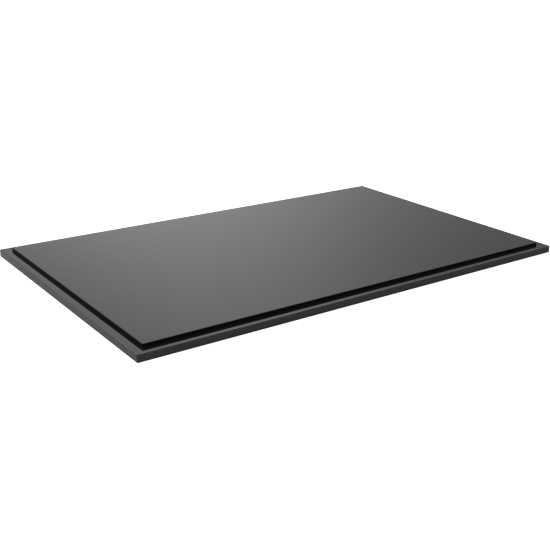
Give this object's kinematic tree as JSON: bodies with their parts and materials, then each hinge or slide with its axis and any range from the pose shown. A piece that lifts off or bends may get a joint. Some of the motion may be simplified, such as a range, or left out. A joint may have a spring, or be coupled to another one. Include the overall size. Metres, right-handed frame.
{
  "type": "kick plate",
  "caption": "Two-level gloss black kick plate: a screw-fixed carrier board with concealed fixings under a thinner lift-off magnetic face plate.",
  "frame": {"origin": "centre of the carrier board's back face, the face that lies against the door", "axes": "+Z out of the door, through the face plate (up, as it lies on its back); +X along the 800 mm length, across the door; +Y along the 500 mm height, up the door"},
  "size_m": [0.8, 0.5, 0.0173],
  "materials": {
    "carrier_gloss": "high gloss solid black acrylic sheet",
    "face_gloss": "high gloss solid black acrylic sheet",
    "cup_steel": "turned stainless steel",
    "pot_steel": "bright zinc plated steel",
    "magnet_nickel": "nickel plated sintered magnet",
    "screw_steel": "blued zinc plated steel",
    "insert_brass": "turned brass",
    "dowel_steel": "ground stainless steel",
    "seal_rubber": "matte silicone rubber",
    "foam_rubber": "closed cell rubber foam",
    "pad_rubber": "soft grey polyurethane",
    "keeper_steel": "zinc plated mild steel",
    "tape_white": "acrylic foam adhesive",
    "bush_nylon": "natural nylon"
  },
  "bodies": {
    "carrier": {"carrier_board": "carrier_gloss", "screw_cups": "cup_steel", "magnet_pots": "pot_steel", "magnet_rings": "magnet_nickel", "magnet_screws": "screw_steel", "threaded_inserts": "insert_brass", "locating_dowels": "dowel_steel", "rest_pads": "pad_rubber", "face_seal": "seal_rubber", "rear_seal": "foam_rubber"},
    "face": {"face_plate": "face_gloss", "keeper_discs": "keeper_steel", "keeper_pads": "tape_white", "round_dowel_bush": "bush_nylon", "slotted_dowel_bush": "bush_nylon"}
  },
  "joints": [
    {"name": "face_plate_lift_off", "type": "slide", "parent": "carrier", "child": "face", "axis": [0, 0, 1], "range_m": [0, 0.1]}
  ]
}
